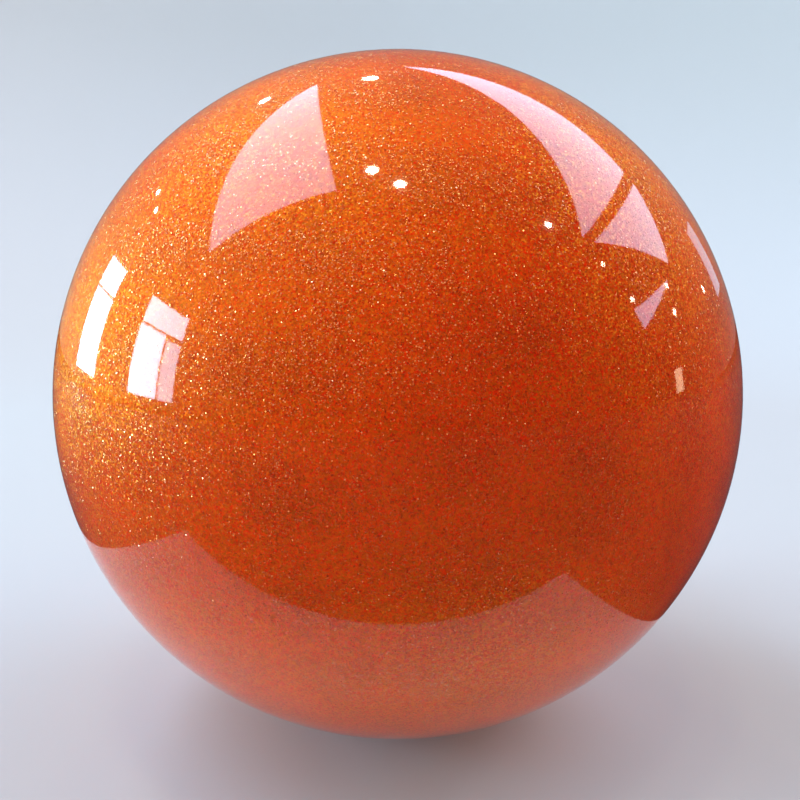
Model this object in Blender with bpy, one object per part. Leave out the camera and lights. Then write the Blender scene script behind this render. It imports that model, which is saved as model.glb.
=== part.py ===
"""Hollow glitter ball for juggling, spinning and body rolling, with its air valve.

From the inside out the ball is an orange vinyl wall, a layer of metallic flakes in
clear binder and a clear glossy skin. A soft valve body is welded into a hole through
all three, and a small peg plugs it.

Frame: origin at the ball's centre, +Y out of the ball along the valve's axis, +Z up.
Every piece is turned about its own Z axis, which then lies along the frame's +Y.
"""

import math

import bpy

# Ball, from the outside in
BALL_RADIUS = 0.0925
SKIN_THICKNESS = 0.0010
GLITTER_THICKNESS = 0.0004
WALL_THICKNESS = 0.0022
GAP = 0.0003  # between faces that touch on the real ball

# Hole for the valve, as an angle from the valve's axis at the ball's centre
HOLE_ANGLE = math.radians(5.0)

# Valve body
VALVE_FLANGE_RADIUS = 0.0130
VALVE_FLANGE_THICKNESS = 0.0018
VALVE_BOSS_RADIUS = 0.0060
VALVE_BOSS_TIP_RADIUS = 0.0045
VALVE_BOSS_LENGTH = 0.0150  # below the flange
VALVE_TIP_CHAMFER = 0.0020
VALVE_BORE_RADIUS = 0.0024
NAIL_NOTCH_RADIUS = 0.0019
NAIL_NOTCH_OFFSET = 0.0054  # from the valve's axis
NAIL_NOTCH_SINK = 0.0002  # of its centre, below the ball's top

# Plug, a flat head on a ribbed stem
HEAD_RADIUS = 0.0046
HEAD_THICKNESS = 0.0013
HEAD_EDGE = 0.0003
STEM_RADIUS = 0.0017
STEM_LENGTH = 0.0130
RIB_RADIUS = VALVE_BORE_RADIUS - GAP
RIB_HEIGHT = 0.0010
RIB_PITCH = 0.0030
RIB_COUNT = 3
STEM_TIP_RADIUS = 0.0009
STEM_TIP_LENGTH = 0.0015

# Facets
BALL_SEGMENTS = 40
VALVE_SEGMENTS = 40
PLUG_SEGMENTS = 32
SPHERE_STRETCHES = (  # polar angle that each stretch ends at, and its number of facets
    (math.radians(15.0), 3),
    (math.radians(90.0), 9),
    (math.radians(180.0), 10),
)
MERGE = 0.00001


def clear_scene():
    for obj in list(bpy.data.objects):
        bpy.data.objects.remove(obj, do_unlink=True)


def finish(name, colour, roughness, metallic=0.0, alpha=1.0):
    """A Principled material with one colour and one roughness."""
    material = bpy.data.materials.new(name)
    material.use_nodes = True
    shader = material.node_tree.nodes["Principled BSDF"]
    shader.inputs["Base Color"].default_value = (*colour, 1.0)
    shader.inputs["Roughness"].default_value = roughness
    shader.inputs["Metallic"].default_value = metallic
    shader.inputs["Alpha"].default_value = alpha
    return material


def on_sphere(radius, angle):
    """The profile point at this polar angle from the valve's axis: (distance from axis, height)."""
    return (radius * math.sin(angle), radius * math.cos(angle))


def arc(radius, start, end, steps):
    turn = (end - start) / steps
    return [on_sphere(radius, start + turn * i) for i in range(steps + 1)]


def sphere_outline(radius):
    """From the edge of the valve's hole down to the far pole, which lies on the axis."""
    points = [on_sphere(radius, HOLE_ANGLE)]
    start = HOLE_ANGLE
    for end, steps in SPHERE_STRETCHES:
        points += arc(radius, start, end, steps)[1:]
        start = end
    points[-1] = (0.0, -radius)
    return points


def turned(name, outline, segments, material, closed=False):
    """A solid of revolution about the valve's axis. The outline runs down its outer side.

    An open outline has both ends on the axis. A closed one runs round a ring's section.
    """
    count = len(outline)
    edges = [(i, i + 1) for i in range(count - 1)]
    if closed:
        edges.append((count - 1, 0))
    mesh = bpy.data.meshes.new(name)
    mesh.from_pydata([(x, 0.0, z) for x, z in outline], edges, [])
    obj = bpy.data.objects.new(name, mesh)
    bpy.context.scene.collection.objects.link(obj)
    mesh.materials.append(material)
    obj.rotation_euler = (math.radians(-90.0), 0.0, 0.0)

    screw = obj.modifiers.new("turn", "SCREW")
    screw.axis = "Z"
    screw.angle = math.tau
    screw.steps = segments
    screw.render_steps = segments
    screw.use_smooth_shade = True
    screw.use_merge_vertices = True
    screw.merge_threshold = MERGE
    return obj


def hollow_ball(name, outer_radius, thickness, material):
    """A spherical shell with the valve's hole, whose edge is a cone from the ball's centre."""
    inside = sphere_outline(outer_radius - thickness)
    outside = sphere_outline(outer_radius)
    return turned(name, inside[::-1] + outside, BALL_SEGMENTS, material)


def valve_body(wall_inner_radius, material):
    """A ring-shaped boss: a domed rim flush with the ball, a conical neck through the
    hole, a flange against the inside of the wall, and a tube into the ball."""
    counterbore = HEAD_RADIUS + GAP
    seat = BALL_RADIUS - HEAD_THICKNESS - GAP
    neck_angle = HOLE_ANGLE - GAP / wall_inner_radius
    rim_angle = math.asin(counterbore / BALL_RADIUS)
    flange_top = wall_inner_radius - GAP
    flange_bottom = flange_top - VALVE_FLANGE_THICKNESS
    flange_angle = math.asin(VALVE_FLANGE_RADIUS / flange_top)
    boss_angle = math.asin(VALVE_BOSS_RADIUS / flange_bottom)
    tip = flange_bottom - VALVE_BOSS_LENGTH

    outline = arc(BALL_RADIUS, rim_angle, neck_angle, 2)
    outline += arc(flange_top, neck_angle, flange_angle, 2)
    outline += arc(flange_bottom, flange_angle, boss_angle, 2)
    outline += [
        (VALVE_BOSS_RADIUS, tip + VALVE_TIP_CHAMFER),
        (VALVE_BOSS_TIP_RADIUS, tip),
        (VALVE_BORE_RADIUS, tip),
        (VALVE_BORE_RADIUS, seat),
        (counterbore, seat),
    ]
    body = turned("valve_body", outline, VALVE_SEGMENTS, material, closed=True)
    cut_nail_notch(body)
    return body


def cut_nail_notch(body):
    """A scallop in the valve's rim that lets a fingernail under the plug's head."""
    bpy.ops.mesh.primitive_uv_sphere_add(
        segments=20,
        ring_count=10,
        radius=NAIL_NOTCH_RADIUS,
        location=(NAIL_NOTCH_OFFSET, BALL_RADIUS - NAIL_NOTCH_SINK, 0.0),
    )
    cutter = bpy.context.object
    cutter.name = "nail_notch_cutter"
    cutter.display_type = "WIRE"
    cutter.hide_render = True
    notch = body.modifiers.new("nail notch", "BOOLEAN")
    notch.operation = "DIFFERENCE"
    notch.solver = "EXACT"
    notch.object = cutter


def valve_plug(material):
    """A flat head on a thin stem with three sealing ribs and a conical tip."""
    top = BALL_RADIUS
    under = top - HEAD_THICKNESS
    outline = [
        (0.0, top),
        (HEAD_RADIUS - HEAD_EDGE, top),
        (HEAD_RADIUS, top - HEAD_EDGE),
        (HEAD_RADIUS, under + HEAD_EDGE),
        (HEAD_RADIUS - HEAD_EDGE, under),
        (STEM_RADIUS, under),
    ]
    for i in range(RIB_COUNT):
        crest = under - RIB_PITCH * (i + 1)
        outline += [
            (STEM_RADIUS, crest + RIB_HEIGHT / 2),
            (RIB_RADIUS, crest),
            (STEM_RADIUS, crest - RIB_HEIGHT / 2),
        ]
    end = under - STEM_LENGTH
    outline += [
        (STEM_RADIUS, end + STEM_TIP_LENGTH),
        (STEM_TIP_RADIUS, end),
        (0.0, end),
    ]
    return turned("valve_plug", outline, PLUG_SEGMENTS, material)


def build():
    clear_scene()
    glitter_radius = BALL_RADIUS - SKIN_THICKNESS - GAP
    wall_radius = glitter_radius - GLITTER_THICKNESS - GAP

    clear_vinyl = finish("clear vinyl", (1.0, 0.90, 0.82), 0.04, alpha=0.25)
    flakes = finish("gold flakes in binder", (0.85, 0.36, 0.08), 0.30, metallic=0.6)
    orange_vinyl = finish("orange vinyl", (0.80, 0.10, 0.02), 0.35)
    soft_vinyl = finish("soft vinyl", (0.85, 0.16, 0.03), 0.55)
    plug_plastic = finish("plug plastic", (0.90, 0.86, 0.78), 0.40)

    hollow_ball("clear_skin", BALL_RADIUS, SKIN_THICKNESS, clear_vinyl)
    hollow_ball("glitter_layer", glitter_radius, GLITTER_THICKNESS, flakes)
    hollow_ball("inner_wall", wall_radius, WALL_THICKNESS, orange_vinyl)
    valve_body(wall_radius - WALL_THICKNESS, soft_vinyl)
    valve_plug(plug_plastic)


build()
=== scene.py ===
"""A 185 mm hollow glitter ball for juggling and rolling.

From the inside out it is an orange vinyl wall, metallised flakes in clear binder and a clear
glossy skin, with an air valve at the back and a plug that pulls out of it along +Y.
"""

import bmesh
import bpy
import numpy as np
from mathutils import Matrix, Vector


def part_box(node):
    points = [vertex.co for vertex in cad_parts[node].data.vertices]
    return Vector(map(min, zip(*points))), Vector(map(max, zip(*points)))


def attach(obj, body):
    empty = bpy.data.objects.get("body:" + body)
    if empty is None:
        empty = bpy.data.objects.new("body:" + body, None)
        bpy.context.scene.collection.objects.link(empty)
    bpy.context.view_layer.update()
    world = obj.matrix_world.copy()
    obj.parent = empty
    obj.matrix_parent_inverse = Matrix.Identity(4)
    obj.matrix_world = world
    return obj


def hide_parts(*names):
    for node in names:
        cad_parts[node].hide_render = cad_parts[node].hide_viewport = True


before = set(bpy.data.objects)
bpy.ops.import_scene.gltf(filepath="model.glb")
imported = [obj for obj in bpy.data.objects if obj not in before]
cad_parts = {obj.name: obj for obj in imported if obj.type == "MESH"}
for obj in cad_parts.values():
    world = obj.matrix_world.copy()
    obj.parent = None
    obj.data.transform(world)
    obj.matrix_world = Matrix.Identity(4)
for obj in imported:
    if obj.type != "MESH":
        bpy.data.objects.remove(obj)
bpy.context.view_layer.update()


# ---------------------------------------------------------------- Camera
# It stands two and a half ball radii from the ball's centre and a little above it,
# and looks slightly down.

ball_low, ball_high = (np.array(corner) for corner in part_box("clear_skin"))
BALL_RADIUS = float(ball_high[0] - ball_low[0]) / 2
CAMERA_AT = np.array([0.006, -2.456, 0.36]) * BALL_RADIUS
CAMERA_PITCH = np.radians(-8.7)
CAMERA_LENS_MM = 35.3

camera = bpy.data.objects.new("camera", bpy.data.cameras.new("camera"))
bpy.context.scene.collection.objects.link(camera)
camera.location = CAMERA_AT
camera.rotation_euler = (np.pi / 2 + CAMERA_PITCH, 0, 0)
camera.data.lens = CAMERA_LENS_MM
camera.data.clip_start = 0.01
bpy.context.scene.camera = camera
bpy.context.scene.view_settings.view_transform = "Standard"


# ---------------------------------------------------------------- Studio
# A pale floor under the ball, a soft room, windows to the left and ceiling panels above.
# Only the ball's reflections see the dark sheets of painted shade round the middle of the floor.


class Wire:
    """A socket of a node tree. Arithmetic on it adds Math nodes, and node() adds any other."""

    def __init__(self, tree, socket=None):
        self.tree = tree
        self.socket = socket

    def node(self, kind, settings=None, values=None, out=0):
        """Adds a node: its settings are set first, then its inputs, by name or number."""
        made = self.tree.nodes.new(kind)
        for name, setting in (settings or {}).items():
            if name == "stops":
                ramp = made.color_ramp
                while len(ramp.elements) < len(setting):
                    ramp.elements.new(1.0)
                for element, (position, colour) in zip(ramp.elements, setting):
                    element.position = position
                    element.color = (*colour, 1.0)
            else:
                setattr(made, name, setting)
        for key, value in (values or {}).items():
            if isinstance(value, Wire):
                self.tree.links.new(value.socket, made.inputs[key])
            else:
                made.inputs[key].default_value = value
        return Wire(self.tree, made.outputs[out] if len(made.outputs) else None)

    def maths(self, operation, *terms):
        return self.node("ShaderNodeMath", {"operation": operation}, dict(enumerate(terms)))

    def __add__(self, other):
        return self.maths("ADD", self, other)

    def __sub__(self, other):
        return self.maths("SUBTRACT", self, other)

    def __rsub__(self, other):
        return self.maths("SUBTRACT", other, self)

    def __mul__(self, other):
        return self.maths("MULTIPLY", self, other)

    __radd__ = __add__
    __rmul__ = __mul__


def material(name):
    """A new material with an empty tree, and a Wire to build it with."""
    made = bpy.data.materials.new(name)
    made.use_nodes = True
    made.node_tree.nodes.clear()
    return made, Wire(made.node_tree)


def show(tree, surface):
    tree.node("ShaderNodeOutputMaterial", {}, {"Surface": surface})


def mesh_object(name, points, faces, *materials, smooth=True):
    """An object at the origin from an array of points and an array of faces of one size."""
    mesh = bpy.data.meshes.new(name)
    points = np.asarray(points, np.float32).reshape(-1, 3)
    faces = np.asarray(faces, np.int32)
    corners = faces.shape[1]
    mesh.vertices.add(len(points))
    mesh.vertices.foreach_set("co", points.ravel())
    mesh.loops.add(faces.size)
    mesh.loops.foreach_set("vertex_index", faces.ravel())
    mesh.polygons.add(len(faces))
    mesh.polygons.foreach_set("loop_start", np.arange(0, faces.size, corners, dtype=np.int32))
    mesh.polygons.foreach_set("use_smooth", np.full(len(faces), smooth))
    for each in materials:
        mesh.materials.append(each)
    mesh.update(calc_edges=True)
    mesh.validate()
    made = bpy.data.objects.new(name, mesh)
    bpy.context.scene.collection.objects.link(made)
    return made


def grid_faces(rows, columns):
    """Quads of a grid whose columns close on themselves."""
    row, column = np.meshgrid(np.arange(rows - 1), np.arange(columns), indexing="ij")
    after = (column + 1) % columns
    corners = [row * columns + column, (row + 1) * columns + column]
    corners += [(row + 1) * columns + after, row * columns + after]
    return np.stack(corners, axis=-1).reshape(-1, 4)


def stage_sheet(name, corners, finish, seen_by_camera=True):
    """A flat polygon that is part of the studio, with its corners in ball radii."""
    sheet = mesh_object(name, np.array(corners) * BALL_RADIUS, [range(len(corners))], finish)
    sheet.visible_camera = seen_by_camera
    return sheet


def glow(name, radiance, colour=(1.0, 1.0, 1.0)):
    made, tree = material(name)
    show(tree, tree.node("ShaderNodeEmission", {}, {"Color": (*colour, 1.0), "Strength": radiance}))
    return made


def flat_finish(name, colour, roughness):
    made, tree = material(name)
    values = {"Base Color": (*colour, 1.0), "Roughness": roughness}
    show(tree, tree.node("ShaderNodeBsdfPrincipled", {}, values))
    return made


# The floor sweeps up into a round backdrop, which only the camera sees. A plain sheet just
# under it throws the light back up, and has dark sheets of painted shade round a pale
# table-sized patch, seen only in the ball's reflections.
COVE_FLAT, COVE_BEND, COVE_TOP = 7.0, 6.0, 30.0
COVE_STEPS = 96
pale = flat_finish("pale floor", (0.66, 0.650, 0.615), 0.6)
backdrop = flat_finish("pale backdrop", (0.56, 0.550, 0.525), 0.6)
bend = np.linspace(0, np.pi / 2, 24)
cove_out = np.concatenate([[0.0], COVE_FLAT + COVE_BEND * np.sin(bend), [COVE_FLAT + COVE_BEND]])
cove_up = np.concatenate([[0.0], COVE_BEND * (1 - np.cos(bend)), [COVE_TOP]]) - 1.0
cove_turn = np.arange(COVE_STEPS) * 2 * np.pi / COVE_STEPS
cove_points = np.stack(
    [
        cove_out[:, None] * np.cos(cove_turn),
        cove_out[:, None] * np.sin(cove_turn),
        cove_up[:, None] + 0 * cove_turn,
    ],
    axis=-1,
)
cove = mesh_object("cove", cove_points * BALL_RADIUS, grid_faces(len(cove_out), COVE_STEPS), backdrop)
cove.visible_diffuse = False
cove.visible_glossy = False
cove.visible_transmission = False
cove.visible_shadow = False

FLOOR_HALF = 60.0
FLOOR_LEVEL, SHADE_SHEET_LEVEL = -1.002, -1.001
TABLE_LEFT, TABLE_RIGHT, TABLE_FRONT = -1.85, 1.10, -1.27
square = [(-1, -1), (1, -1), (1, 1), (-1, 1)]
floor_corners = [(x * FLOOR_HALF, y * FLOOR_HALF, FLOOR_LEVEL) for x, y in square]
stage_sheet("floor", floor_corners, pale, seen_by_camera=False)
# Painted shade: these dark sheets are seen only in the ball's reflections, where they stand in for the
# unlit room.
shade_sheet_finish = flat_finish("dark shade sheet", (0.030, 0.026, 0.024), 0.9)
for name, left, right, front, back in (  # edges, in ball radii
    ("shade_sheet_front", -FLOOR_HALF, FLOOR_HALF, -FLOOR_HALF, TABLE_FRONT),
    ("shade_sheet_left", -FLOOR_HALF, TABLE_LEFT, TABLE_FRONT, FLOOR_HALF),
    ("shade_sheet_right", TABLE_RIGHT, FLOOR_HALF, TABLE_FRONT, FLOOR_HALF),
):
    outline = [(left, front), (right, front), (right, back), (left, back)]
    corners = [(x, y, SHADE_SHEET_LEVEL) for x, y in outline]
    shade_sheet = stage_sheet(name, corners, shade_sheet_finish, seen_by_camera=False)
    shade_sheet.visible_diffuse = False
    shade_sheet.visible_shadow = False
    shade_sheet.visible_transmission = False

# Windows on the left wall, each with a bar across it, and two lit openings on the right.
WALL_X = 25.0
DAYLIGHT, DAYLIGHT_COLOUR = 24.0, (0.52, 0.78, 1.0)
WARM_COLOUR = (1.0, 0.72, 0.45)
for name, side, share, colour, front, back, low, high in (  # share of the daylight, and edges
    ("window_back_low", -1, 1.0, DAYLIGHT_COLOUR, 6.7, 13.0, 0.5, 7.38),
    ("window_back_high", -1, 1.0, DAYLIGHT_COLOUR, 6.7, 13.0, 7.66, 10.5),
    ("window_front_low", -1, 1.0, DAYLIGHT_COLOUR, -6.4, -1.2, 0.5, 7.38),
    ("window_front_curtain", -1, 0.55, DAYLIGHT_COLOUR, -9.5, -6.75, 0.5, 7.0),
    ("window_front_high", -1, 0.8, DAYLIGHT_COLOUR, -9.5, -1.2, 7.66, 10.5),
    ("doorway_right", 1, 0.075, DAYLIGHT_COLOUR, 22.0, 29.0, 4.5, 11.0),
    ("lamp_right", 1, 0.3, WARM_COLOUR, 0.6, 2.1, 0.1, 2.2),
):
    outline = [(front, low), (back, low), (back, high), (front, high)]
    corners = [(side * WALL_X, y, z) for y, z in outline]
    pane_light = glow(name + "_light", DAYLIGHT * share, colour)
    stage_sheet(name, corners, pane_light, seen_by_camera=False)

# Triangular ceiling panels and round downlights.
CEILING = 20.0
PANEL_LEFT, PANEL_RIGHT = 7.6, 6.4
PANEL_COLOUR = (0.60, 0.73, 1.0)
for name, radiance, corners in (
    ("panel_left", PANEL_LEFT, [(-5.7, 13.6), (-5.7, -6.6), (-25.0, -6.6)]),
    ("panel_right", PANEL_RIGHT, [(0.3, 16.5), (22.4, 16.5), (22.4, -4.6)]),
    ("panel_side", PANEL_RIGHT, [(24.8, 17.0), (45.0, 15.0), (24.8, -3.6)]),
    ("panel_far", PANEL_RIGHT, [(50.0, 12.0), (70.0, -7.5), (52.0, -7.0)]),
):
    panel_light = glow(name + "_light", radiance, PANEL_COLOUR)
    stage_sheet(name, [(x, y, CEILING) for x, y in corners], panel_light, seen_by_camera=False)

DOWNLIGHT_SIDES = 16
DOWNLIGHT_RADIUS, DOWNLIGHT = 0.55, 70.0
downlight_light = glow("downlight", DOWNLIGHT, (1.0, 0.90, 0.72))
around = np.arange(DOWNLIGHT_SIDES) * 2 * np.pi / DOWNLIGHT_SIDES
circle = np.stack([np.cos(around), np.sin(around), 0 * around], axis=1)
DOWNLIGHTS = [(-1.9, 12.1), (-10.0, 15.4), (-26.2, 16.1), (-28.3, 12.4)]
DOWNLIGHTS += [(-2.2, -4.6), (0.2, -6.6), (16.7, -6.5)]
for number, (x, y) in enumerate(DOWNLIGHTS):
    ring = (x, y, CEILING) + DOWNLIGHT_RADIUS * circle
    stage_sheet(f"downlight_{number}", ring, downlight_light, seen_by_camera=False)

# Small spotlights on the right wall, which make clusters of sparks in the flakes.
SPOT_RADIUS, SPOTLIGHT = 0.32, 45.0
SPOTLIGHTS = [(4.6, 9.6), (-3.2, 10.8), (-5.0, 16.9), (3.9, 7.0), (15.1, 6.6)]
spot_light = glow("spotlight", SPOTLIGHT, (1.0, 0.86, 0.62))
for number, (y, z) in enumerate(SPOTLIGHTS):
    ring = (WALL_X, y, z) + SPOT_RADIUS * circle[:, [2, 0, 1]]
    stage_sheet(f"spotlight_{number}", ring, spot_light, seen_by_camera=False)

# Broad soft lamps. The skin's gloss mirrors none of them, but the glitter under it catches the
# upper left one, whose light is linked to the wall and the flakes as they are made.
LAMP_COLOUR = (1.0, 0.93, 0.86)
lit_by_glint_lamp = bpy.data.collections.new("lit_by_glint_lamp")
for name, energy, angle, tilt_x, tilt_y in (  # angles in degrees
    ("soft_lamp", 0.55, 80, 16, -58),
    ("fill_lamp", 1.75, 80, 4, 74),
    ("rim_lamp", 0.80, 80, -49, 65),
    ("glint_lamp", 1.20, 100, 22, -29),
):
    lamp = bpy.data.objects.new(name, bpy.data.lights.new(name, "SUN"))
    bpy.context.scene.collection.objects.link(lamp)
    lamp.data.energy = energy
    lamp.data.color = LAMP_COLOUR
    lamp.data.angle = np.radians(angle)
    lamp.rotation_euler = (np.radians(tilt_x), np.radians(tilt_y), 0)
    lamp.visible_glossy = False
    if name == "glint_lamp":
        lamp.visible_glossy = True
        lamp.light_linking.receiver_collection = lit_by_glint_lamp

# The room's soft light: pale behind the ball and to its left, darker in front of it.
ROOM_BACK, ROOM_FRONT = 0.30, 0.035
BRIGHT_WAY = np.radians(30)  # of the brightest part, to the left of +Y
world = bpy.data.worlds.new("room")
bpy.context.scene.world = world
world.use_nodes = True
world.node_tree.nodes.clear()
room = Wire(world.node_tree)
direction = room.node("ShaderNodeTexCoord", {}, {}, "Generated")
backward = room.node("ShaderNodeSeparateXYZ", {}, {0: direction}, "Y")
rightward = room.node("ShaderNodeSeparateXYZ", {}, {0: direction}, "X")
depth = backward * np.cos(BRIGHT_WAY) - rightward * np.sin(BRIGHT_WAY)
strength = room.node(
    "ShaderNodeMapRange",
    {"interpolation_type": "SMOOTHSTEP"},
    {"Value": depth, "From Min": -0.6, "From Max": 0.8, "To Min": ROOM_FRONT, "To Max": ROOM_BACK},
)
room_light = {"Color": (1.0, 0.97, 0.97, 1.0), "Strength": strength}
glowing = room.node("ShaderNodeBackground", {}, room_light)
room.node("ShaderNodeOutputWorld", {}, {"Surface": glowing})


# ---------------------------------------------------------------- Orange wall
# A rotationally moulded vinyl shell. Its saturated orange shows between the flakes.

wall_low, wall_high = (np.array(corner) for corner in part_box("inner_wall"))
WALL_RADIUS = float(wall_high[0] - wall_low[0]) / 2
WALL_THICKNESS = 0.0022
HOLE_ANGLE = np.radians(5.0)
CLOUD_SCALE = 55.0
POWDER_SCALE = 2800.0
POWDER_TILT = 0.4
POWDER_ROUGHNESS = 0.40
POWDER_COLOUR = (1.0, 0.50, 0.025)
POWDER_LEAST, POWDER_MOST = 0.04, 0.43
LIP = 0.0003
LIP_STEPS = 6
ROUND_STEPS = 256
POLAR_STEPS = 128


def turned(profile, steps):
    """Points of a profile turned about the valve's axis, +Y: each profile point (distance
    from the axis, height along it) becomes a ring. Outward faces need heights that fall."""
    turn = np.arange(steps) * 2 * np.pi / steps
    distance, height = profile[:, :1], profile[:, 1:]
    rings = [distance * np.sin(turn), height + 0 * turn, distance * np.cos(turn)]
    return np.stack(rings, axis=-1)


def merge_doubles(made, distance=1e-6):
    """Joins the points that meet, as on the axis, and drops the faces that they flatten."""
    work = bmesh.new()
    work.from_mesh(made.data)
    bmesh.ops.remove_doubles(work, verts=work.verts, dist=distance)
    work.to_mesh(made.data)
    work.free()


def shell(name, outer, inner, *materials):
    """A hollow ball with the valve's hole. The profile runs up the inside to the hole, over
    its edge, and down the outside. At each corner of the edge, for t from 0 to a quarter
    turn, the radius changes by LIP (1 - cos t) and the arc from the hole is LIP (1 - sin t)."""
    angles = np.linspace(HOLE_ANGLE + LIP / outer, np.pi, POLAR_STEPS)
    turn = np.linspace(0, np.pi / 2, LIP_STEPS)
    inside = np.concatenate([0 * angles, LIP * (1 - np.cos(turn))]) + inner
    outside = outer - np.concatenate([LIP * (1 - np.cos(turn[::-1])), 0 * angles])
    edge = HOLE_ANGLE + LIP / outer * (1 - np.sin(turn))
    radius = np.concatenate([inside, outside])
    angle = np.concatenate([angles[::-1], edge, edge[::-1], angles])
    profile = np.stack([radius * np.sin(angle), radius * np.cos(angle)], axis=1)
    faces = grid_faces(len(profile), ROUND_STEPS)
    return mesh_object(name, turned(profile, ROUND_STEPS), faces, *materials)


def orange_vinyl():
    """Red-orange vinyl, in soft clouds and fine grit of redder and yellower orange, dusted with
    gold powder. Each small cell has its own share of powder, and its own tilt."""
    made, tree = material("orange vinyl")
    place = tree.node("ShaderNodeTexCoord", {}, {}, "Object")
    clouds = tree.node("ShaderNodeTexNoise", {}, {"Vector": place, "Scale": CLOUD_SCALE, "Detail": 4.0})
    cell = tree.node("ShaderNodeTexVoronoi", {}, {"Vector": place, "Scale": POWDER_SCALE}, "Color")
    dust = tree.node("ShaderNodeSeparateColor", {}, {0: cell}, "Red")
    grit = tree.node("ShaderNodeSeparateColor", {}, {0: cell}, "Green")
    stops = [
        (0.10, (0.44, 0.003, 0.001)),
        (0.45, (0.74, 0.006, 0.001)),
        (0.70, (0.86, 0.011, 0.001)),
        (0.95, (0.92, 0.038, 0.002)),
    ]
    mottling = clouds * 0.7 + grit * 0.5 - 0.1
    colour = tree.node("ShaderNodeValToRGB", {"stops": stops}, {0: mottling})
    base = {"Base Color": colour, "Roughness": 0.6, "Specular IOR Level": 0.0}
    vinyl = tree.node("ShaderNodeBsdfPrincipled", {}, base)
    middle = (0.5, 0.5, 0.5)
    lean = tree.node("ShaderNodeVectorMath", {"operation": "SUBTRACT"}, {0: cell, 1: middle})
    tilt = tree.node("ShaderNodeVectorMath", {"operation": "SCALE"}, {0: lean, "Scale": POWDER_TILT})
    level = tree.node("ShaderNodeNewGeometry", {}, {}, "Normal")
    tilted = tree.node("ShaderNodeVectorMath", {"operation": "ADD"}, {0: level, 1: tilt})
    facing = tree.node("ShaderNodeVectorMath", {"operation": "NORMALIZE"}, {0: tilted})
    gold = {"Base Color": (*POWDER_COLOUR, 1.0), "Metallic": 1.0, "Roughness": POWDER_ROUGHNESS}
    gold["Normal"] = facing
    powder = tree.node("ShaderNodeBsdfPrincipled", {}, gold)
    span = {"Value": dust, "To Min": POWDER_LEAST, "To Max": POWDER_MOST}
    share = tree.node("ShaderNodeMapRange", {}, span)
    show(tree, tree.node("ShaderNodeMixShader", {}, {0: share, 1: vinyl, 2: powder}))
    return made


wall = shell("orange_wall", WALL_RADIUS, WALL_RADIUS - WALL_THICKNESS, orange_vinyl())
merge_doubles(wall)
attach(wall, "ball")
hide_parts("inner_wall")
lit_by_glint_lamp.objects.link(wall)


# ---------------------------------------------------------------- Glitter
# Hex-cut metallised film under half a millimetre across, sprayed on in clear binder. The
# flakes lie nearly flat on the wall, each tilted a little its own way, in loose drifts.

glitter_low, glitter_high = (np.array(corner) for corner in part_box("glitter_layer"))
GLITTER_OUTER = float(glitter_high[0] - glitter_low[0]) / 2
GLITTER_THICKNESS = 0.0004
FLAKE_TILT, FLAKE_MOST_TILT = np.radians(9.0), np.radians(38.0)
FLAKE_LEAST_SIZE, FLAKE_MOST_SIZE = 0.7, 1.15  # of the radius given below
FLAKE_SEED = 7
TRIES_PER_FLAKE = 3
CLEAR_OF_VALVE = HOLE_ANGLE * 1.12
DRIFT_WAVES, DRIFT_LENGTH, DRIFT_DEPTH = 9, 0.020, 0.6
FLAKE_IOR = 2.5
FLAKE_FINISHES = {  # how many, corners, radius, colour, colour of its glints, roughness
    "copper_flakes": (45000, 6, 0.00018, (0.42, 0.005, 0.001), (1.0, 0.32, 0.06), 0.28),
    "amber_flakes": (45000, 6, 0.00018, (0.78, 0.024, 0.001), (1.0, 0.60, 0.15), 0.26),
    "gold_flakes": (45000, 6, 0.00018, (0.86, 0.060, 0.002), (1.0, 0.78, 0.28), 0.24),
    "pale_gold_flakes": (40000, 6, 0.00017, (0.88, 0.080, 0.004), (1.0, 0.90, 0.48), 0.22),
    "copper_dust": (90000, 4, 0.00013, (0.40, 0.004, 0.001), (1.0, 0.32, 0.06), 0.30),
    "amber_dust": (90000, 4, 0.00013, (0.78, 0.026, 0.001), (1.0, 0.60, 0.15), 0.28),
    "gold_dust": (90000, 4, 0.00013, (0.86, 0.060, 0.002), (1.0, 0.80, 0.30), 0.26),
}
dice = np.random.default_rng(FLAKE_SEED)
drift_ways = dice.normal(size=(3, DRIFT_WAVES))
drift_ways *= 2 * np.pi / DRIFT_LENGTH * GLITTER_OUTER / np.linalg.norm(drift_ways, axis=0)
drift_phases = dice.uniform(0, 2 * np.pi, DRIFT_WAVES)


def directions(count):
    """Random directions clear of the valve. A direction is kept with a chance that rises and
    falls over the ball as a sum of sine waves, so that the flakes gather in drifts."""
    tries = TRIES_PER_FLAKE * count
    height = dice.uniform(-1, np.cos(CLEAR_OF_VALVE), tries)
    around = dice.uniform(0, 2 * np.pi, tries)
    distance = np.sqrt(1 - height**2)
    ways = np.stack([distance * np.sin(around), height, distance * np.cos(around)], axis=1)
    wave = np.sin(ways @ drift_ways + drift_phases).sum(axis=1) / np.sqrt(DRIFT_WAVES)
    chance = 0.55 + 0.45 * DRIFT_DEPTH * np.clip(wave, -1, 1)
    return ways[dice.uniform(size=tries) < chance][:count]


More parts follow.
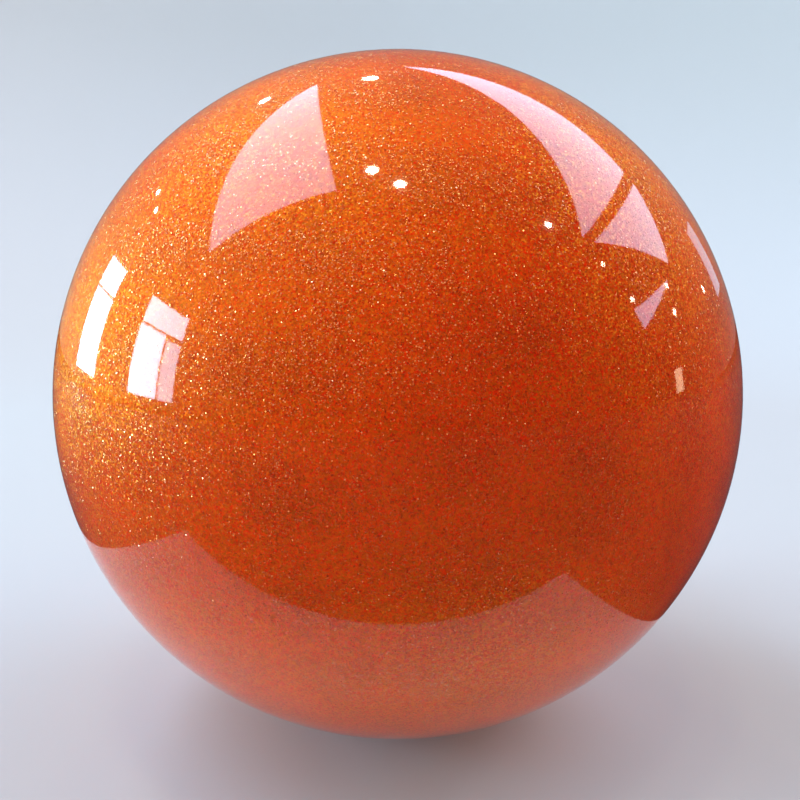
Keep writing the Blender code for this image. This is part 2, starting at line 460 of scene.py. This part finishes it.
def flakes(name, count, sides, radius, finish):
    """Small regular polygons on the sphere. A flake's normal is the sphere's, tilted by a random
    small angle towards a random side, and it is turned by a random angle in its own plane."""
    normal = directions(count)
    across = np.cross(normal, [0.0, 1.0, 0.0])
    across /= np.linalg.norm(across, axis=1, keepdims=True)
    along = np.cross(normal, across)

    side = dice.uniform(0, 2 * np.pi, (count, 1))
    tilt = np.minimum(dice.rayleigh(FLAKE_TILT, (count, 1)), FLAKE_MOST_TILT)
    towards = np.cos(side) * across + np.sin(side) * along
    facing = np.cos(tilt) * normal + np.sin(tilt) * towards
    first = np.cos(tilt) * towards - np.sin(tilt) * normal
    second = np.cross(facing, first)

    size = radius * dice.uniform(FLAKE_LEAST_SIZE, FLAKE_MOST_SIZE, (count, 1))
    play = GLITTER_THICKNESS / 2 - size * np.sin(tilt)
    depth = GLITTER_THICKNESS / 2 + play * dice.uniform(-1, 1, (count, 1))
    centre = normal * (GLITTER_OUTER - depth)
    turn = dice.uniform(0, 2 * np.pi, (count, 1)) + np.arange(sides) * 2 * np.pi / sides
    corners = np.cos(turn)[:, :, None] * first[:, None] + np.sin(turn)[:, :, None] * second[:, None]
    points = centre[:, None] + size[:, :, None] * corners
    faces = np.arange(count * sides).reshape(count, sides)
    return mesh_object(name, points, faces, finish, smooth=False)


for name, (count, sides, radius, colour, glint, roughness) in FLAKE_FINISHES.items():
    finish, tree = material(name.replace("_", " "))
    values = {"Base Color": (*colour, 1.0), "Roughness": roughness, "IOR": FLAKE_IOR}
    values |= {"Specular Tint": (*glint, 1.0), "Specular IOR Level": 1.0}
    show(tree, tree.node("ShaderNodeBsdfPrincipled", {}, values))
    piece = flakes(name, count, sides, radius, finish)
    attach(piece, "ball")
    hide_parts("glitter_layer")
    lit_by_glint_lamp.objects.link(piece)


# ---------------------------------------------------------------- Clear skin
# Water-clear vinyl cast over the flakes, 1 mm thick, with a mirror gloss. It bends what is
# under it, so that the orange reaches the ball's very edge.

SKIN_THICKNESS = 0.0010
SKIN_IOR = 1.5
SKIN_ROUGHNESS = 0.05
PEEL_SCALE, PEEL_DEPTH = 700.0, 0.0000025


def clear_vinyl():
    """Gloss by Fresnel over a bent view of what lies below. Light passes straight through.
    A very faint orange peel ruffles the edges of what it mirrors."""
    made, tree = material("clear vinyl")
    place = tree.node("ShaderNodeTexCoord", {}, {}, "Object")
    peel = tree.node("ShaderNodeTexNoise", {}, {"Vector": place, "Scale": PEEL_SCALE, "Detail": 2.0})
    bump = tree.node("ShaderNodeBump", {}, {"Height": peel, "Distance": PEEL_DEPTH})
    gloss = tree.node("ShaderNodeBsdfGlossy", {}, {"Roughness": SKIN_ROUGHNESS, "Normal": bump})
    bent = tree.node("ShaderNodeBsdfRefraction", {}, {"Roughness": 0.0, "IOR": SKIN_IOR})
    straight = tree.node("ShaderNodeBsdfTransparent")
    seen = tree.node("ShaderNodeLightPath", {}, {}, "Is Camera Ray")
    through = tree.node("ShaderNodeMixShader", {}, {0: seen, 1: straight, 2: bent})
    facing = 1 - tree.node("ShaderNodeNewGeometry", {}, {}, "Backfacing")
    share = tree.node("ShaderNodeFresnel", {}, {"IOR": SKIN_IOR}) * facing
    show(tree, tree.node("ShaderNodeMixShader", {}, {0: share, 1: through, 2: gloss}))
    return made


def bonded_vinyl():
    """The skin's inner face, which is stuck to the binder and so neither shines nor bends."""
    made, tree = material("bonded vinyl")
    show(tree, tree.node("ShaderNodeBsdfTransparent"))
    return made


skin_finishes = (clear_vinyl(), bonded_vinyl())
skin = shell("glossy_skin", BALL_RADIUS, BALL_RADIUS - SKIN_THICKNESS, *skin_finishes)
inner_faces = np.arange(len(skin.data.polygons)) < ROUND_STEPS * (POLAR_STEPS + LIP_STEPS)
skin.data.polygons.foreach_set("material_index", inner_faces.astype(np.int32))
merge_doubles(skin)
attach(skin, "ball")
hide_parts("clear_skin")


# ---------------------------------------------------------------- Air valve
# A soft vinyl boss welded into the wall. Its rim lies flush with the skin, with a low bead
# round the plug's seat and a scallop for a fingernail, and its tube reaches into the ball.

PLUG_HEAD_RADIUS, PLUG_HEAD_THICKNESS = 0.0046, 0.0013
VALVE_GAP = 0.0003
SEAT_RADIUS = PLUG_HEAD_RADIUS + VALVE_GAP
SEAT_HEIGHT = BALL_RADIUS - PLUG_HEAD_THICKNESS - VALVE_GAP
WELD_SEAM = 0.00006
FLANGE_RADIUS, FLANGE_THICKNESS = 0.0130, 0.0018
BOSS_RADIUS, BOSS_TIP_RADIUS, BOSS_LENGTH, BOSS_TAPER = 0.0060, 0.0045, 0.0150, 0.0020
BORE_RADIUS = 0.0024
BEAD_RADIUS, BEAD_WIDTH, BEAD_HEIGHT = 0.0057, 0.00035, 0.00009
NOTCH_RADIUS, NOTCH_OFFSET, NOTCH_DEPTH = 0.0021, 0.0055, 0.0017
CORNER_STEPS = 7
VALVE_ROUND_STEPS = 240
RIM_SPACING, TUBE_SPACING = 0.00010, 0.0010


def rounded(corners):
    """A profile from rows of distance, height and corner radius r. With unit directions u
    and v to its neighbours and h half the angle between them, a corner becomes an arc whose
    centre lies r / sin h along the bisector, from r / tan h along u to r / tan h along v."""
    corners = np.asarray(corners, float)
    place, radius = corners[:, :2], corners[:, 2:]
    back = np.roll(place, 1, axis=0) - place
    ahead = np.roll(place, -1, axis=0) - place
    back /= np.maximum(np.linalg.norm(back, axis=1, keepdims=True), 1e-12)
    ahead /= np.maximum(np.linalg.norm(ahead, axis=1, keepdims=True), 1e-12)
    half = np.arccos(np.clip((back * ahead).sum(axis=1, keepdims=True), -0.9999, 0.9999)) / 2
    middle = back + ahead
    middle /= np.maximum(np.linalg.norm(middle, axis=1, keepdims=True), 1e-12)
    centre = place + middle * radius / np.sin(half)
    across = back - middle * (back * middle).sum(axis=1, keepdims=True)
    across /= np.maximum(np.linalg.norm(across, axis=1, keepdims=True), 1e-12)
    swing = np.linspace(1, -1, CORNER_STEPS) * (np.pi / 2 - half)
    arcs = np.cos(swing)[..., None] * -middle[:, None] + np.sin(swing)[..., None] * across[:, None]
    points = centre[:, None] + radius[:, None] * arcs
    points = np.where(radius[:, None] > 0, points, place[:, None]).reshape(-1, 2)
    fresh = np.linalg.norm(np.diff(points, axis=0, prepend=-points[:1]), axis=1) > 1e-7
    return points[fresh]


def stepped(profile, spacing):
    """Cuts each straight run of a profile into equal steps no longer than its spacing."""
    run = np.diff(profile, axis=0)
    pieces = np.maximum(np.ceil(np.linalg.norm(run, axis=1) / spacing), 1).astype(int)
    owner = np.repeat(np.arange(len(run)), pieces)
    step = np.arange(len(owner)) - np.repeat(np.cumsum(pieces) - pieces, pieces)
    points = profile[owner] + (step / pieces[owner])[:, None] * run[owner]
    return np.concatenate([points, profile[-1:]])


def valve_points():
    """The valve's profile turned. Then its upper faces get the bead, a ring with the height
    BEAD_HEIGHT exp(-d²), d being the distance from the ring in widths, and the scallop, which
    brings every point above it down to rim - NOTCH_DEPTH (1 - s²)², s being the distance
    from its middle in radii."""
    hole = HOLE_ANGLE - WELD_SEAM / BALL_RADIUS
    flange_top = WALL_RADIUS - WALL_THICKNESS - VALVE_GAP
    flange_angle = np.arcsin(FLANGE_RADIUS / flange_top)
    flange_bottom = flange_top - FLANGE_THICKNESS
    tip = flange_bottom - BOSS_LENGTH
    profile = rounded(
        [
            (SEAT_RADIUS, np.sqrt(BALL_RADIUS**2 - SEAT_RADIUS**2), 0.00020),
            (BALL_RADIUS * np.sin(hole), BALL_RADIUS * np.cos(hole), 0.00020),
            (flange_top * np.sin(hole), flange_top * np.cos(hole), 0.00030),
            (FLANGE_RADIUS, flange_top * np.cos(flange_angle), 0.00050),
            (flange_bottom * np.sin(flange_angle), flange_bottom * np.cos(flange_angle), 0.00050),
            (BOSS_RADIUS, np.sqrt(flange_bottom**2 - BOSS_RADIUS**2), 0.00120),
            (BOSS_RADIUS, tip + BOSS_TAPER, 0.00100),
            (BOSS_TIP_RADIUS, tip, 0.00050),
            (BORE_RADIUS, tip, 0.00030),
            (BORE_RADIUS, SEAT_HEIGHT, 0.00030),
            (SEAT_RADIUS, SEAT_HEIGHT, 0.00015),
        ]
    )
    profile = np.concatenate([profile, profile[:1]])
    on_rim = np.minimum(profile[:-1, 1], profile[1:, 1]) > SEAT_HEIGHT - VALVE_GAP
    profile = stepped(profile, np.where(on_rim, RIM_SPACING, TUBE_SPACING))
    points = turned(profile, VALVE_ROUND_STEPS)
    across, up, sideways = points[..., 0], points[..., 1], points[..., 2]
    distance = np.hypot(across, sideways)
    rim = np.sqrt(BALL_RADIUS**2 - distance**2)
    bead = BEAD_HEIGHT * np.exp(-(((distance - BEAD_RADIUS) / BEAD_WIDTH) ** 2))
    up += np.where(up > rim - VALVE_GAP, bead, 0)
    s = np.hypot(across - NOTCH_OFFSET, sideways) / NOTCH_RADIUS
    scallop = rim + bead - NOTCH_DEPTH * np.clip(1 - s**2, 0, 1) ** 2
    up[:] = np.where((up > SEAT_HEIGHT - VALVE_GAP) & (s < 1), np.minimum(up, scallop), up)
    return points


def grained(name, colour_stops, roughness, grain_scale, grain_depth, clouds_scale):
    """Moulded plastic: clouds of colour, a fine grain in relief, and gloss that follows both."""
    made, tree = material(name)
    place = tree.node("ShaderNodeTexCoord", {}, {}, "Object")
    clouds = tree.node("ShaderNodeTexNoise", {}, {"Vector": place, "Scale": clouds_scale, "Detail": 3.0})
    grain = tree.node("ShaderNodeTexNoise", {}, {"Vector": place, "Scale": grain_scale, "Detail": 2.0})
    colour = tree.node("ShaderNodeValToRGB", {"stops": colour_stops}, {0: clouds * 0.7 + grain * 0.3})
    gloss = roughness + (grain - 0.5) * 0.35 + (clouds - 0.5) * 0.2
    bump = tree.node("ShaderNodeBump", {}, {"Height": grain, "Distance": grain_depth})
    values = {"Base Color": colour, "Roughness": gloss, "Normal": bump}
    show(tree, tree.node("ShaderNodeBsdfPrincipled", {}, values))
    return made


valve_stops = [
    (0.30, (0.62, 0.045, 0.003)),
    (0.55, (0.80, 0.085, 0.006)),
    (0.75, (0.88, 0.135, 0.015)),
]
valve_finish = grained("soft valve vinyl", valve_stops, 0.45, 4200.0, 0.00002, 260.0)
valve_rings = valve_points()
valve_faces = grid_faces(len(valve_rings), VALVE_ROUND_STEPS)
valve = mesh_object("air_valve", valve_rings, valve_faces, valve_finish)
merge_doubles(valve)
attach(valve, "ball")
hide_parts("valve_body")


# ---------------------------------------------------------------- Plug
# A pull-out peg of off-white plastic, moulded in one piece. Its head has a shallow dish with
# the nub of the mould's gate, and three ribs on the stem seal the valve's bore.

STEM_RADIUS, STEM_LENGTH = 0.0017, 0.0130
RIB_RADIUS, RIB_HEIGHT, RIB_PITCH, RIBS = 0.0021, 0.0010, 0.0030, 3
TIP_RADIUS, TIP_LENGTH = 0.0009, 0.0015
DISH_RADIUS, DISH_DEPTH = 0.0031, 0.00030
NUB_RADIUS, NUB_HEIGHT = 0.00050, 0.00012
PLUG_ROUND_STEPS = 160
PLUG_SPACING = 0.0004


def plug_profile():
    """Down the plug's outer side, from the middle of its head to the middle of its tip."""
    top, under = BALL_RADIUS, BALL_RADIUS - PLUG_HEAD_THICKNESS
    dish, end = top - DISH_DEPTH, under - STEM_LENGTH
    corners = [
        (0.0, dish + NUB_HEIGHT, 0),
        (NUB_RADIUS, dish + NUB_HEIGHT, 0.00006),
        (NUB_RADIUS, dish, 0.00006),
        (DISH_RADIUS - DISH_DEPTH, dish, 0.00040),
        (DISH_RADIUS + DISH_DEPTH, top, 0.00030),
        (PLUG_HEAD_RADIUS, top, 0.00035),
        (PLUG_HEAD_RADIUS, under, 0.00025),
        (STEM_RADIUS, under, 0.00030),
    ]
    for crest in under - RIB_PITCH * np.arange(1, RIBS + 1):
        corners += [
            (STEM_RADIUS, crest + RIB_HEIGHT / 2, 0.00012),
            (RIB_RADIUS, crest, 0.00020),
            (STEM_RADIUS, crest - RIB_HEIGHT / 2, 0.00012),
        ]
    corners += [(STEM_RADIUS, end + TIP_LENGTH, 0.0004), (TIP_RADIUS, end, 0.0003), (0.0, end, 0)]
    return stepped(rounded(corners), PLUG_SPACING)


plug_stops = [(0.30, (0.70, 0.64, 0.53)), (0.55, (0.80, 0.76, 0.67)), (0.75, (0.86, 0.83, 0.76))]
plug_finish = grained("plug plastic", plug_stops, 0.38, 2600.0, 0.00001, 320.0)
plug_rings = turned(plug_profile(), PLUG_ROUND_STEPS)
plug_faces = grid_faces(len(plug_rings), PLUG_ROUND_STEPS)
plug = mesh_object("ribbed_plug", plug_rings, plug_faces, plug_finish)
merge_doubles(plug)
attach(plug, "plug")
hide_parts("valve_plug")
